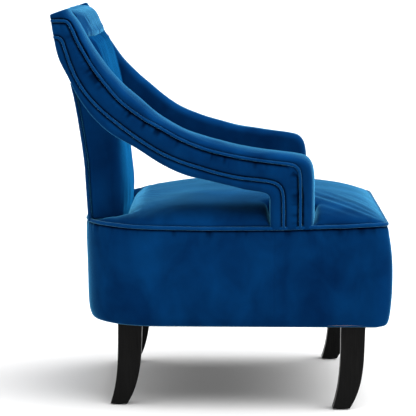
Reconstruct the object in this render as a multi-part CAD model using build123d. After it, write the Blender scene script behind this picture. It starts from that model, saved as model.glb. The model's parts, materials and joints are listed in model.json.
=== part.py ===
"""Swoop-arm upholstered armchair, built as its separate pieces.

Millimetres, +Z up.  The origin is on the floor under the middle of the chair.
The sitter faces -Y, so the sitter's left hand is at +X.
"""
from build123d import *
import os

# ---- overall ---------------------------------------------------------------
HALF_DEPTH = 367.5        # front of the base to the rear of the arm tops, halved
BASE_HALF_WIDTH = 350.8   # at the front, before the corners are rounded
REAR_HALF_WIDTH = 338.0   # the base narrows a little toward the rear
BASE_REAR_Y = 301.0
FRONT_CORNER_RADIUS = 42.0
REAR_CORNER_RADIUS = 165.0
BASE_EDGE_RADIUS = 16.0
BASE_BOTTOM_Z = 183.0
WELT_Z = 402.0            # the piped seam between the base and the seat
SEAT_CROWN_Z = 467.0
BACK_SEAM_Z = 803.0       # the seam under the padded top roll

BOX = 1200.0              # larger than the chair, for cutting pieces apart

# ---- materials' thicknesses ------------------------------------------------
FABRIC = 2.0
GAP = 0.3                 # fitting gap between neighbouring pieces
SLIP = 0.8                # the seat's clearance round the arm posts and the back
BASE_FOAM = 12.0
BOARD = 18.0
WELT_WIDTH = 7.0
WELT_PROUD = 4.5
COVER_TURN_UNDER = 45.0   # how far the base cover reaches in under the boards and the seat
DUST_COVER_INSET = 26.0
DUST_COVER_THICK = 0.9
SEAT_BOTTOM_Z = WELT_Z + GAP
ABOVE_WELT_Z = WELT_Z + WELT_WIDTH / 2 + GAP

# ---- frame -----------------------------------------------------------------
BOARD_BOTTOM_Z = BASE_BOTTOM_Z + 5.0
BOARD_TOP_Z = 385.0
FOAM_INNER = FABRIC + BASE_FOAM
BOARD_OUTER = FOAM_INNER + GAP
BOARD_INNER = BOARD_OUTER + BOARD
POST_INNER_X = 190.0
POST_OUTER_X = 226.0
POST_DEPTH = 40.0
POST_BOTTOM_Z = 240.0
OUTER_BACK_SPACE = 16.0   # from the rear of the back to the posts

# ---- arms ------------------------------------------------------------------
ARM_POST_FRONT_Y = -199.5
ARM_POST_REAR_Y = -102.0
ARM_FOOT_Z = ABOVE_WELT_Z
ARM_INNER_X = 255.0
ARM_OUTER_X = 345.0
ARM_BOARD_INNER_X = 262.0
ARM_BOARD_THICK = 25.0
ARM_BOARD_INSET = 17.0
ARM_ROUNDING = 16.0
ARM_PADDING_CUTS = (("front", -BOX, -80.0), ("middle", -80.0, 150.0), ("rear", 150.0, BOX))
KNUCKLE_RADIUS = 34.0
CROOK_RADIUS = 14.0
ARM_UPPER_EDGE = (
    (327, 867), (287, 802), (244, 739), (179, 676), (93, 615),
    (6, 585), (-81, 567), (ARM_POST_FRONT_Y, 553),
)
ARM_LOWER_EDGE = (
    (ARM_POST_REAR_Y, 473), (-38, 486), (48, 505), (134, 538), (219, 587),
    (283, 643), (330, 718), (356, 790), (HALF_DEPTH, 852),
)

# ---- back ------------------------------------------------------------------
BACK_LOW_HALF_WIDTH = 235.0
BACK_TOP_HALF_WIDTH = 252.0
BACK_WIDE_Z = 690.0
BACK_FOOT_Z = ABOVE_WELT_Z
BACK_TOP_Z = 850.0
BACK_FRAME_TOP_Z = 848.0
BACK_EDGE_WELT_TOP_Z = 636.0
BACK_RAILS = (
    ("back_lower_rail", 415, 465),
    ("back_middle_rail", 595, 640),
    ("back_top_rail", 796, BACK_FRAME_TOP_Z),
)
STRAP_ZS = (505, 565, 680, 745)
STRAP_THICK = 2.0
STRAP_WIDTH = 50.0
POST_TENON = ((279, 407), (270, 398), (254, 384), (254, POST_BOTTOM_Z))
EDGE_WELT_THICK = 2.5

# ---- legs and fasteners ----------------------------------------------------
LEG_WIDTH = 40.0
LEG_TOP_Z = BASE_BOTTOM_Z - 1.5
LEG_EDGE_RADIUS = 2.5
GLIDE_THICK = 3.0
GLIDE_RADIUS = 12.0
GLIDE_BEHIND = 24.0       # the foot lies this far behind the leg's head
FRONT_LEG_X = 300.0
REAR_LEG_X = 250.0
FRONT_LEG_Y = -283.0
REAR_LEG_Y = 203.0
BOLT_RADIUS = 4.0
LEG_BOLT_BOTTOM_Z = 135.0
LEG_BOLT_TOP_Z = 236.0
LEG_BLOCK_TOP_Z = 230.0
LEG_BLOCK_SIZE = 64.0
TEE_FLANGE_RADIUS = 11.0
TEE_FLANGE_THICK = 1.5
TEE_BARREL_RADIUS = 5.2
TEE_BARREL_LENGTH = 12.0
UPPER_BLOCK_Y = 308.0
UPPER_BLOCK_Z = 760.0
LOWER_SCREW_Y = -150.0
LOWER_SCREW_ZS = (285, 340)
LOWER_BLOCK = (312.7, -184, -118, 250, 372)   # outer X, front and rear Y, bottom and top Z
SCREW_HEAD_THICK = 5.0
SCREW_HEAD_RADIUS = 7.5
WASHER_THICK = 1.6
WASHER_RADIUS = 9.0
POCKET_RADIUS = 10.0
POCKET_DEPTH = 9.0

# ---- seat springs ----------------------------------------------------------
SPRING_XS = (-150.0, -75.0, 0.0, 75.0, 150.0)
SPRING_WIRE_RADIUS = 1.9
SPRING_TURNS = 12
SPRING_HALF_WIDTH = 22.0
SPRING_BEND_RADIUS = 9.0
CLIP_REACH = 12.0
CLIP_FOOT = 2.5
SPRING_Z = BOARD_TOP_Z + SPRING_WIRE_RADIUS + GAP
DECK_PAD_BOTTOM_Z = SPRING_Z + SPRING_WIRE_RADIUS + 1.5

parts = {}


# ---- small helpers ---------------------------------------------------------
def slab(face, z0, z1):
    """A flat face in the floor plane, raised between two heights."""
    return extrude(Plane.XY.offset(z0) * face, amount=z1 - z0)


def side_slab(face, x0, x1):
    """A side-view outline (Y across, Z up) given thickness between two X."""
    return extrude(Plane.YZ.offset(x0) * face, amount=x1 - x0)


def box_between(x0, x1, y0, y1, z0, z1):
    centre = ((x0 + x1) / 2, (y0 + y1) / 2, (z0 + z1) / 2)
    return Pos(*centre) * Box(x1 - x0, y1 - y0, z1 - z0)


def upright(x, y, z0, z1, radius):
    return Pos(x, y, (z0 + z1) / 2) * Cylinder(radius, z1 - z0)


def crosswise(x0, x1, y, z, radius):
    return Pos((x0 + x1) / 2, y, z) * Rot(0, 90, 0) * Cylinder(radius, abs(x1 - x0))


def mirrored(shape):
    return mirror(shape, about=Plane.YZ)


def both_sides(shape):
    return [shape, mirrored(shape)]


def outline(*edges):
    return make_face(list(edges))


def inset_face(face, amount):
    return offset(face, amount=-amount, kind=Kind.INTERSECTION) if amount else face


# ---- base ------------------------------------------------------------------
def base_plan(inset=0.0):
    """D-shaped plan of the base: small front corners, large rear corners."""
    corners = Polyline(
        (-BASE_HALF_WIDTH, -HALF_DEPTH),
        (BASE_HALF_WIDTH, -HALF_DEPTH),
        (REAR_HALF_WIDTH, BASE_REAR_Y),
        (-REAR_HALF_WIDTH, BASE_REAR_Y),
        close=True,
    )
    plan = make_face(corners)
    plan = fillet(plan.vertices().sort_by(Axis.Y)[:2], FRONT_CORNER_RADIUS)
    plan = fillet(plan.vertices().sort_by(Axis.Y)[-2:], REAR_CORNER_RADIUS)
    return inset_face(plan, inset)


def base_body(inset=0.0):
    """The whole base block, its lower edge rounded."""
    block = slab(base_plan(inset), BASE_BOTTOM_Z + inset, WELT_Z)
    return fillet(block.faces().sort_by(Axis.Z)[0].edges(), BASE_EDGE_RADIUS - inset)


def welt_ring(gap=0.0):
    """Piping all round the seam between the seat and the base."""
    half = WELT_WIDTH / 2 + gap
    return slab(base_plan(), WELT_Z - half, WELT_Z + half) - slab(base_plan(WELT_PROUD + gap), 0, BOX)


def build_base_cover():
    opening = slab(base_plan(COVER_TURN_UNDER), 0, WELT_Z + 1)
    parts["base_cover"] = base_body() - base_body(FABRIC) - opening - welt_ring(GAP)


def build_base_padding():
    hollow = slab(base_plan(FOAM_INNER), 0, WELT_Z + 1)
    parts["base_padding"] = base_body(FABRIC + GAP) - hollow - welt_ring(GAP)


def build_base_boards():
    plan = base_plan(BOARD_OUTER)
    hoop = slab(plan, BOARD_BOTTOM_Z, BOARD_TOP_Z) - slab(base_plan(BOARD_INNER), 0, BOX)
    front_y = -HALF_DEPTH + BOARD_INNER
    bend_y = BASE_REAR_Y - REAR_CORNER_RADIUS
    bend_x = REAR_HALF_WIDTH - REAR_CORNER_RADIUS
    front = box_between(-BOX, BOX, -BOX, front_y, 0, BOX)
    side = box_between(0, BOX, front_y + GAP, bend_y, 0, BOX)
    corner = box_between(bend_x, BOX, bend_y + GAP, BOX, 0, BOX)
    rear = box_between(-bend_x + GAP, bend_x - GAP, bend_y + GAP, BOX, 0, BOX)
    parts["base_front_board"] = hoop & front
    parts["base_rear_board"] = hoop & rear
    parts["base_side_board_left"] = hoop & side
    parts["base_side_board_right"] = mirrored(hoop & side)
    parts["base_corner_board_left"] = hoop & corner
    parts["base_corner_board_right"] = mirrored(hoop & corner)


def build_dust_cover():
    sheet = slab(base_plan(DUST_COVER_INSET), BASE_BOTTOM_Z - GAP - DUST_COVER_THICK, BASE_BOTTOM_Z - GAP)
    for x, y in leg_places():
        sheet -= upright(x, y, 0, BOX, BOLT_RADIUS + GAP)
    parts["dust_cover"] = sheet


# ---- legs ------------------------------------------------------------------
def leg_places():
    places = []
    for x, y in ((FRONT_LEG_X, FRONT_LEG_Y), (REAR_LEG_X, REAR_LEG_Y)):
        places.append((x, y))
        places.append((-x, y))
    return places


def leg(x, y):
    """A sabre leg: it curves back toward its foot and narrows."""
    rear = Spline((26, LEG_TOP_Z), (27, 100), (32, 48), (43, GLIDE_THICK))
    foot = Line((43, GLIDE_THICK), (5.5, GLIDE_THICK))
    front = Spline((5.5, GLIDE_THICK), (-15, 50), (-24, 108), (-27, LEG_TOP_Z))
    head = Line((-27, LEG_TOP_Z), (26, LEG_TOP_Z))
    shape = side_slab(outline(rear, foot, front, head), -LEG_WIDTH / 2, LEG_WIDTH / 2)
    edges = shape.edges().filter_by(lambda e: abs(e.center().X) > LEG_WIDTH / 2 - 1)
    long_edges = edges.filter_by(lambda e: e.length > 100)
    shape = fillet(long_edges, LEG_EDGE_RADIUS)
    pilot = upright(0, 0, LEG_BOLT_BOTTOM_Z - 3, LEG_TOP_Z + 1, BOLT_RADIUS + GAP / 2)
    return Pos(x, y, 0) * (shape - pilot)


def build_legs():
    names = ("leg_front_left", "leg_front_right", "leg_rear_left", "leg_rear_right")
    bolts = []
    tees = []
    glides = []
    for name, (x, y) in zip(names, leg_places()):
        parts[name] = leg(x, y)
        bolts.append(upright(x, y, LEG_BOLT_BOTTOM_Z, LEG_BOLT_TOP_Z, BOLT_RADIUS))
        tees.append(tee_nut(x, y))
        glides.append(upright(x, y + GLIDE_BEHIND, 0, GLIDE_THICK - GAP / 3, GLIDE_RADIUS))
    parts["leg_bolts"] = bolts
    parts["leg_tee_nuts"] = tees
    parts["leg_glides"] = glides


def tee_nut(x, y):
    flange = upright(x, y, LEG_BLOCK_TOP_Z + GAP, LEG_BLOCK_TOP_Z + TEE_FLANGE_THICK, TEE_FLANGE_RADIUS)
    top = LEG_BLOCK_TOP_Z + GAP + 0.01
    barrel = upright(x, y, top - TEE_BARREL_LENGTH, top, TEE_BARREL_RADIUS)
    return flange + barrel - upright(x, y, 0, BOX, BOLT_RADIUS + GAP / 2)


def build_leg_blocks():
    half = LEG_BLOCK_SIZE / 2
    hollow = slab(base_plan(BOARD_INNER + GAP), BOARD_BOTTOM_Z, LEG_BLOCK_TOP_Z)
    blocks = []
    for x, y in leg_places():
        block = box_between(x - half, x + half, y - half, y + half, BOARD_BOTTOM_Z, LEG_BLOCK_TOP_Z)
        hole = upright(x, y, 0, BOX, TEE_BARREL_RADIUS + GAP / 2)
        blocks.append((block & hollow) - hole)
    parts["leg_blocks"] = blocks


# ---- seat ------------------------------------------------------------------
def crown_side(inset=0.0):
    """Side view of the seat crown, steep at the front and long at the rear."""
    front = Spline((-362, WELT_Z), (-354, 424), (-330, 448), (-268, 463), (-209, SEAT_CROWN_Z))
    top = Line((-209, SEAT_CROWN_Z), (54, SEAT_CROWN_Z))
    rear = Spline((54, SEAT_CROWN_Z), (145, 453), (225, 434), (280, 418), (BASE_REAR_Y, WELT_Z))
    bottom = Line((BASE_REAR_Y, WELT_Z), (-362, WELT_Z))
    crown = outline(front, top, rear, bottom)
    return crown if not inset else Pos(0, -inset, 0) * crown


def crown_front(inset=0.0):
    """Front view of the seat crown."""
    half = BASE_HALF_WIDTH - 4
    right = Spline((half, WELT_Z), (half - 18, 428), (250, 455), (130, SEAT_CROWN_Z))
    top = Line((130, SEAT_CROWN_Z), (-130, SEAT_CROWN_Z))
    left = Spline((-130, SEAT_CROWN_Z), (-250, 455), (18 - half, 428), (-half, WELT_Z))
    bottom = Line((-half, WELT_Z), (half, WELT_Z))
    crown = outline(right, top, left, bottom)
    return crown if not inset else Pos(0, -inset, 0) * crown


def seat_body(inset=0.0):
    """The crowned seat, cut round the arm posts and the back."""
    plan = slab(base_plan(WELT_PROUD + GAP + inset), SEAT_BOTTOM_Z, SEAT_CROWN_Z + 1)
    along = side_slab(crown_side(inset), -BOX / 2, BOX / 2)
    across = extrude(Plane.XZ.offset(-BOX / 2) * crown_front(inset), amount=BOX)
    body = plan & along & across
    room = SLIP + inset
    post = box_between(
        ARM_INNER_X - room, BOX,
        ARM_POST_FRONT_Y - room, ARM_POST_REAR_Y + room,
        0, BOX,
    )
    body -= post
    body -= mirrored(post)
    back = side_slab(back_side_view(), -BOX / 2, BOX / 2)
    back &= box_between(-BACK_LOW_HALF_WIDTH - 4 - inset, BACK_LOW_HALF_WIDTH + 4 + inset, 0, BOX, 0, BOX)
    body -= Pos(0, -room, 0) * back
    body -= Pos(0, 60, 0) * back
    return body


def build_seat():
    cover = seat_body() - seat_body(FABRIC)
    parts["seat_cover"] = cover
    parts["seat_foam"] = seat_body(FABRIC + GAP)


def build_deck_pad():
    pad = slab(base_plan(FOAM_INNER + GAP), DECK_PAD_BOTTOM_Z, WELT_Z)
    for post in both_sides(box_between(POST_INNER_X - 1, POST_OUTER_X + 1, 200, 282, 0, BOX)):
        pad -= post
    arm_end = ARM_BOARD_INNER_X + ARM_BOARD_THICK
    for end in both_sides(box_between(
            ARM_BOARD_INNER_X - 1, arm_end + 1,
            ARM_POST_FRONT_Y, ARM_POST_REAR_Y, 0, BOX)):
        pad -= end
    parts["seat_deck_pad"] = pad


def build_springs():
    """Sinuous steel springs from the front board to the rear board."""
    front_y = -HALF_DEPTH + BOARD_OUTER + 4
    rear_y = BASE_REAR_Y - BOARD_OUTER - 4
    step = (rear_y - front_y) / SPRING_TURNS
    springs = []
    clips = []
    for x in SPRING_XS:
        points = [(x, front_y)]
        side = 1
        for turn in range(SPRING_TURNS):
            y = front_y + (turn + 0.25) * step
            points.append((x + side * SPRING_HALF_WIDTH, y))
            points.append((x + side * SPRING_HALF_WIDTH, y + step / 2))
            side = -side
        points.append((x, rear_y))
        path = Plane.XY.offset(SPRING_Z) * FilletPolyline(*points, radius=SPRING_BEND_RADIUS)
        start = Plane(origin=path @ 0, z_dir=path % 0)
        springs.append(sweep(start * Circle(SPRING_WIRE_RADIUS), path=path))
        wire_top = SPRING_Z + SPRING_WIRE_RADIUS + GAP / 2
        for y, outward in ((front_y, -1), (rear_y, 1)):
            near, far = sorted((y - outward * CLIP_REACH, y + outward * CLIP_FOOT))
            strap = box_between(x - 9, x + 9, near, far, BOARD_TOP_Z + GAP, wire_top + 1)
            near, far = sorted((y - outward * (CLIP_REACH + 1), y + outward * 0.5))
            clips.append(strap - box_between(x - 10, x + 10, near, far, 0, wire_top))
    parts["seat_springs"] = springs
    parts["spring_clips"] = clips


# ---- arms ------------------------------------------------------------------
def moved_line(points, inward, start, end):
    """Points moved sideways to their left by inward, their ends lengthened by start and end."""
    line = []
    last = len(points) - 1
    for i, point in enumerate(points):
        before = Vector(*points[max(i - 1, 0)])
        after = Vector(*points[min(i + 1, last)])
        along = (after - before).normalized()
        place = Vector(*point) + Vector(-along.Y, along.X) * inward
        if i == 0:
            place -= along * start
        if i == last:
            place += along * end
        line.append((place.X, place.Y))
    return line


def arm_side_view(inset=0.0, foot_z=ARM_FOOT_Z):
    """The arm: a post, a quick turn, a long sweep up and a rolled-back top."""
    upper_points = moved_line(ARM_UPPER_EDGE, inset, -inset, -inset)
    lower_points = moved_line(ARM_LOWER_EDGE, inset, inset, -inset)
    front_y, knuckle_z = upper_points[-1]
    rear_y, crook_z = lower_points[0]
    upper = Spline(*upper_points)
    lower = Spline(*lower_points)
    front = Line((front_y, knuckle_z), (front_y, foot_z))
    foot = Line((front_y, foot_z), (rear_y, foot_z))
    rear = Line((rear_y, foot_z), (rear_y, crook_z))
    top = Line(lower_points[-1], upper_points[0])
    shape = outline(upper, front, foot, rear, lower, top)
    knuckle = shape.vertices().sort_by(lambda v: abs(v.X - front_y) + abs(v.Y - knuckle_z))[0]
    shape = fillet(knuckle, KNUCKLE_RADIUS - inset)
    crook = shape.vertices().sort_by(lambda v: abs(v.X - rear_y) + abs(v.Y - crook_z))[0]
    return fillet(crook, CROOK_RADIUS + inset)


def arm_body(inset, side):
    """One arm between its inner and outer faces, its long edges rounded.

    side is 1 for the sitter's left arm and -1 for the right.
    """
    face = arm_side_view(inset)
    body = side_slab(face, *sorted((side * (ARM_INNER_X + inset), side * (ARM_OUTER_X - inset))))
    ends = body.faces().filter_by(Axis.X)
    rims = [edge for end in ends for edge in end.edges() if edge.center().Z > ARM_FOOT_Z + 1]
    return fillet(rims, ARM_ROUNDING)


def arm_core(inset, side, gap=0.0):
    """The plywood board in the middle of an arm, which runs down into the base."""
    face = arm_side_view(inset, POST_BOTTOM_Z)
    near = ARM_BOARD_INNER_X - gap
    far = ARM_BOARD_INNER_X + ARM_BOARD_THICK + gap
    return side_slab(face, *sorted((side * near, side * far)))


def build_arms():
    above_seat = box_between(-BOX, BOX, -BOX, BOX, ARM_FOOT_Z, BOX)
    for name, side in (("left", 1), ("right", -1)):
        room = arm_core(ARM_BOARD_INSET - GAP, side, GAP)
        cover = arm_body(0, side) - arm_body(FABRIC, side)
        padding = arm_body(FABRIC + GAP, side) - room
        parts["arm_board_" + name] = arm_core(ARM_BOARD_INSET, side)
        parts["arm_cover_" + name] = cover & above_seat
        for place, front_y, rear_y in ARM_PADDING_CUTS:
            stretch = box_between(-BOX, BOX, front_y, rear_y, ARM_FOOT_Z, BOX)
            parts["arm_padding_" + place + "_" + name] = padding & stretch


def upper_welt_line():
    return Spline(
        (364, 843), (350, 844), (336, 841), (319, 821), (290, 767), (239, 695), (175, 640),
        (90, 592), (5, 562), (-81, 546), (-145, 538), (-164, 522), (-167, 500), (-167, 406),
    )


def lower_welt_line():
    return Spline(
        (359, 808), (346, 805), (332, 773), (303, 706), (260, 655), (197, 604),
        (133, 563), (47, 530), (-38, 509), (-102, 501), (-124, 488), (-131, 465), (-131, 406),
    )


def build_arm_welts():
    for node, line in (("arm_welt_upper", upper_welt_line()), ("arm_welt_lower", lower_welt_line())):
        strip = trace(line, line_width=WELT_WIDTH)
        welt = side_slab(strip, ARM_OUTER_X + GAP / 3, ARM_OUTER_X + WELT_PROUD)
        parts[node + "_left"] = welt
        parts[node + "_right"] = mirrored(welt)


# ---- back ------------------------------------------------------------------
def rear_line(shift=0.0):
    """The rear of the back, shifted forward by an amount."""
    points = [(295, BACK_FOOT_Z), (303, 536), (312, 602), (324, 674), (346, 765), (366, 850)]
    return Spline(*[(y - shift, z) for y, z in points])


def back_side_view(inset=0.0):
    """Side view of the back below the top roll, with a bulge under the seam."""
    rear = rear_line(inset)
    front = Spline(
        (277 + inset, 803), (260 + inset, 791), (245 + inset, 764),
        (230 + inset, 692), (214 + inset, 540), (207 + inset, BACK_FOOT_Z),
    )
    top = Line(rear @ 1, (277 + inset, 850))
    drop = Line((277 + inset, 850), (277 + inset, 803))
    foot = Line((207 + inset, BACK_FOOT_Z), rear @ 0)
    return outline(rear, top, drop, front, foot)


def back_body(inset=0.0):
    low = BACK_LOW_HALF_WIDTH - inset
    wide = BACK_TOP_HALF_WIDTH - inset
    across = Polyline(
        (-low, BACK_FOOT_Z), (low, BACK_FOOT_Z), (wide, BACK_WIDE_Z), (wide, BACK_SEAM_Z),
        (-wide, BACK_SEAM_Z), (-wide, BACK_WIDE_Z), close=True,
    )
    front_view = extrude(Plane.XZ.offset(-BOX / 2) * make_face(across), amount=BOX)
    return side_slab(back_side_view(inset), -BOX / 2, BOX / 2) & front_view


def layer(near, far):
    """A layer of the back between two distances in front of its rear line."""
    rear = rear_line(near)
    front = rear_line(far)
    face = outline(rear, Line(rear @ 1, front @ 1), front, Line(front @ 0, rear @ 0))
    return side_slab(face, -BOX / 2, BOX / 2)


def back_front_view(margin=0.0):
    """The back seen from the front, a little wider at the top than at the seat."""
    low = BACK_LOW_HALF_WIDTH + margin
    wide = BACK_TOP_HALF_WIDTH + margin
    across = Polyline(
        (-low, BACK_FOOT_Z), (low, BACK_FOOT_Z), (wide, BACK_WIDE_Z), (wide, BACK_TOP_Z),
        (-wide, BACK_TOP_Z), (-wide, BACK_WIDE_Z), close=True,
    )
    return extrude(Plane.XZ.offset(-BOX / 2) * make_face(across), amount=BOX)


def build_back_frame():
    posts_near = OUTER_BACK_SPACE
    posts_far = OUTER_BACK_SPACE + POST_DEPTH
    zone = layer(posts_near, posts_far)
    foot_side = Polyline(
        *POST_TENON,
        (214, POST_BOTTOM_Z), (214, 384), (226, 395), (239, 407), close=True,
    )
    foot = side_slab(make_face(foot_side), POST_INNER_X, POST_OUTER_X)
    post = (zone & box_between(POST_INNER_X, POST_OUTER_X, 0, BOX, 0, BACK_FRAME_TOP_Z)) + foot
    holes = [hole for hole in arm_screw_holes() if hole.center().Z > WELT_Z]
    for hole in holes:
        post -= hole
    parts["back_post_left"] = post
    parts["back_post_right"] = mirrored(post)
    half = POST_INNER_X - GAP
    for node, z0, z1 in BACK_RAILS:
        parts[node] = zone & box_between(-half, half, 0, BOX, z0, z1)
    straps = []
    strap_end = POST_OUTER_X - 4
    strap_zone = layer(posts_far + GAP, posts_far + GAP + STRAP_THICK)
    for z in STRAP_ZS:
        low, high = z - STRAP_WIDTH / 2, z + STRAP_WIDTH / 2
        straps.append(strap_zone & box_between(-strap_end, strap_end, 0, BOX, low, high))
    parts["back_webbing"] = straps


def build_back_padding():
    hollow = box_between(-POST_OUTER_X - GAP, POST_OUTER_X + GAP, 0, BOX, 0, BOX)
    behind = layer(-BOX / 4, OUTER_BACK_SPACE + POST_DEPTH + STRAP_THICK + 2 * GAP)
    foam = back_body(FABRIC + GAP) - (hollow & behind) - layer(-BOX / 4, FABRIC + GAP)
    shell = back_body() - back_body(FABRIC) - layer(-BOX / 4, FABRIC + GAP)
    middle = box_between(-POST_OUTER_X, POST_OUTER_X, 0, BOX, BACK_FOOT_Z - 1, BACK_FOOT_Z + FABRIC + 1)
    shell -= middle & layer(FABRIC, 80)
    ceiling = box_between(-BOX, BOX, -BOX, BOX, BACK_SEAM_Z - FABRIC - 1, BOX)
    shell -= ceiling & back_body(FABRIC + 12)
    for block in arm_blocks(GAP):
        foam -= block
        shell -= block
    parts["inner_back_foam"] = foam
    parts["inner_back_cover"] = shell


def build_outer_back():
    view = back_front_view()
    inner_view = box_between(-POST_OUTER_X, POST_OUTER_X, 0, BOX, BACK_FOOT_Z + 4, BACK_TOP_Z - 20)
    parts["outer_back_cover"] = layer(0, FABRIC) & view
    parts["outer_back_wadding"] = layer(FABRIC + GAP, OUTER_BACK_SPACE - 4) & inner_view
    parts["outer_back_board"] = layer(OUTER_BACK_SPACE - 4 + GAP, OUTER_BACK_SPACE - GAP) & inner_view
    edge = layer(0, WELT_WIDTH) & (back_front_view(0.1 + EDGE_WELT_THICK) - back_front_view(0.1))
    low = box_between(0, BOX, 0, BOX, 0, BACK_EDGE_WELT_TOP_Z)
    parts["back_edge_welt_left"] = edge & low
    parts["back_edge_welt_right"] = mirrored(edge & low)


def top_roll_side(inset=0.0):
    """Side view of the padded roll along the top of the back."""
    rear = rear_line(inset)
    face = outline(
        Line((275 + inset, BACK_SEAM_Z + GAP), (275 + inset, 806)),
        Spline((275 + inset, 806), (279 + inset, 828), (292 + inset, 858 - inset), (312, 871 - inset)),
        Spline((312, 871 - inset), (335, 870 - inset), (360 - inset, 858 - inset), rear @ 1),
        rear,
        Line(rear @ 0, (275 + inset, BACK_SEAM_Z + GAP)),
    )
    return side_slab(face, inset - BACK_TOP_HALF_WIDTH, BACK_TOP_HALF_WIDTH - inset)


def build_top_roll():
    above = box_between(-BOX, BOX, 0, BOX, BACK_SEAM_Z + GAP, BOX)
    whole = top_roll_side() & above
    core = box_between(-POST_OUTER_X - GAP, POST_OUTER_X + GAP, 0, BOX, 0, BACK_FRAME_TOP_Z + GAP)
    core &= layer(-BOX / 4, OUTER_BACK_SPACE + POST_DEPTH + GAP)
    inner = top_roll_side(FABRIC) & above
    behind = layer(-BOX / 4, FABRIC + GAP)
    parts["top_roll_cover"] = whole - inner - behind
    parts["top_roll_foam"] = (top_roll_side(FABRIC + GAP) & above) - core - behind


# ---- arm joints ------------------------------------------------------------
def arm_blocks(gap=0.0):
    """The upper blocks that join each arm board to its back post."""
    block = box_between(
        POST_OUTER_X + GAP - gap, ARM_BOARD_INNER_X - GAP + gap,
        UPPER_BLOCK_Y - 13 - gap, UPPER_BLOCK_Y + 13 + gap,
        UPPER_BLOCK_Z - 24 - gap, UPPER_BLOCK_Z + 24 + gap,
    )
    return both_sides(block)


def lower_arm_block():
    """The block between an arm board and the side board of the base."""
    end = ARM_BOARD_INNER_X + ARM_BOARD_THICK
    return box_between(end + GAP, *LOWER_BLOCK)


def arm_screw_places():
    """Each screw: head X, tip X, Y and Z."""
    end = ARM_BOARD_INNER_X + ARM_BOARD_THICK
    places = []
    for rise in (-12, 12):
        places.append((end, 196, UPPER_BLOCK_Y, UPPER_BLOCK_Z + rise))
    for z in LOWER_SCREW_ZS:
        places.append((ARM_BOARD_INNER_X, 326, LOWER_SCREW_Y, z))
    return places


def arm_screw_holes():
    """Clearance holes round the arm screws' shanks."""
    return [crosswise(*sorted((head, tip)), y, z, BOLT_RADIUS + GAP / 2)
            for head, tip, y, z in arm_screw_places()]


def build_arm_fasteners():
    screws = []
    washers = []
    for head, tip, y, z in arm_screw_places():
        way = 1 if head > tip else -1
        under = head + way * (GAP + WASHER_THICK)
        outer = under + way * SCREW_HEAD_THICK
        shank = crosswise(*sorted((under + way * 0.5, tip)), y, z, BOLT_RADIUS)
        hexagon = Plane.YZ.offset(min(under, outer)) * Pos(y, z) * RegularPolygon(SCREW_HEAD_RADIUS, 6)
        screw = shank + extrude(hexagon, amount=SCREW_HEAD_THICK)
        disc = crosswise(*sorted((head + way * GAP / 2, under - way * GAP / 2)), y, z, WASHER_RADIUS)
        washer = disc - crosswise(-BOX, BOX, y, z, BOLT_RADIUS + GAP / 2)
        screws += both_sides(screw)
        washers += both_sides(washer)
    parts["arm_screws"] = screws
    parts["arm_washers"] = washers


def fit_arm_joints():
    """Cut the blocks' and screws' ways through the pieces they pass."""
    upper = arm_blocks()
    lower = both_sides(lower_arm_block())
    for hole in arm_screw_holes():
        for side, reach in (("left", hole), ("right", mirrored(hole))):
            parts["arm_board_" + side] -= reach
            parts["base_side_board_" + side] -= reach
        upper = [upper[0] - hole, upper[1] - mirrored(hole)]
        lower = [lower[0] - hole, lower[1] - mirrored(hole)]
    parts["arm_upper_blocks"] = upper
    parts["arm_lower_blocks"] = lower
    pocket_x = ARM_BOARD_INNER_X + ARM_BOARD_THICK
    for head, tip, y, z in arm_screw_places()[:2]:
        pocket = crosswise(pocket_x, pocket_x + POCKET_DEPTH, y, z, POCKET_RADIUS)
        parts["arm_padding_rear_left"] -= pocket
        parts["arm_padding_rear_right"] -= mirrored(pocket)
    for side, block in zip(("left", "right"), arm_blocks(GAP)):
        parts["arm_padding_rear_" + side] -= block
        parts["arm_cover_" + side] -= block


def export_parts():
    os.makedirs("parts", exist_ok=True)
    for name, shape in parts.items():
        pieces = shape if isinstance(shape, list) else [shape]
        solids = [solid for piece in pieces for solid in piece.solids()]
        whole = solids[0] if len(solids) == 1 else Compound(children=solids)
        whole.label = name
        export_step(whole, f"parts/{name}.step")


build_base_cover()
build_base_padding()
build_base_boards()
build_dust_cover()
build_legs()
build_leg_blocks()
build_seat()
build_deck_pad()
parts["seat_welt"] = welt_ring()
build_springs()
build_arms()
build_arm_welts()
build_back_frame()
build_back_padding()
build_outer_back()
build_top_roll()
build_arm_fasteners()
fit_arm_joints()
export_parts()
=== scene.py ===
"""Swoop-arm armchair in blue velvet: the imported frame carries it, and these pieces dress it."""
import json
import math

import bmesh
import bpy
import numpy as np
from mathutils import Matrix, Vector, noise


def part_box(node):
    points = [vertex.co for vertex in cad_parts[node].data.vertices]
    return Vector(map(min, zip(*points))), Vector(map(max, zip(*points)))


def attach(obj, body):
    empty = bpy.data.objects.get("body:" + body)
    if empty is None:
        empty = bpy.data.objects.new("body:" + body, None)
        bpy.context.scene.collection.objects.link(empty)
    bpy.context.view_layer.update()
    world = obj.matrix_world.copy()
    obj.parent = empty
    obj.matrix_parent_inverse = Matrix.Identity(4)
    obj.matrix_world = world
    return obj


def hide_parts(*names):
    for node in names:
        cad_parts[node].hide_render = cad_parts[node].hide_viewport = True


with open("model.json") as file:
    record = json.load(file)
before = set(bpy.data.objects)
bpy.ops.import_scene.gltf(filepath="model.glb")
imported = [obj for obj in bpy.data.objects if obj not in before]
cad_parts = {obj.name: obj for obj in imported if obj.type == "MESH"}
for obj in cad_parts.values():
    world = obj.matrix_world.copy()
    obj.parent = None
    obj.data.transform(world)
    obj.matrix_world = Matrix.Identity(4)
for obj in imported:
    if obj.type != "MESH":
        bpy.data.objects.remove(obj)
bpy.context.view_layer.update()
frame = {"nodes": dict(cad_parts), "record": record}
MM = 0.001

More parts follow.
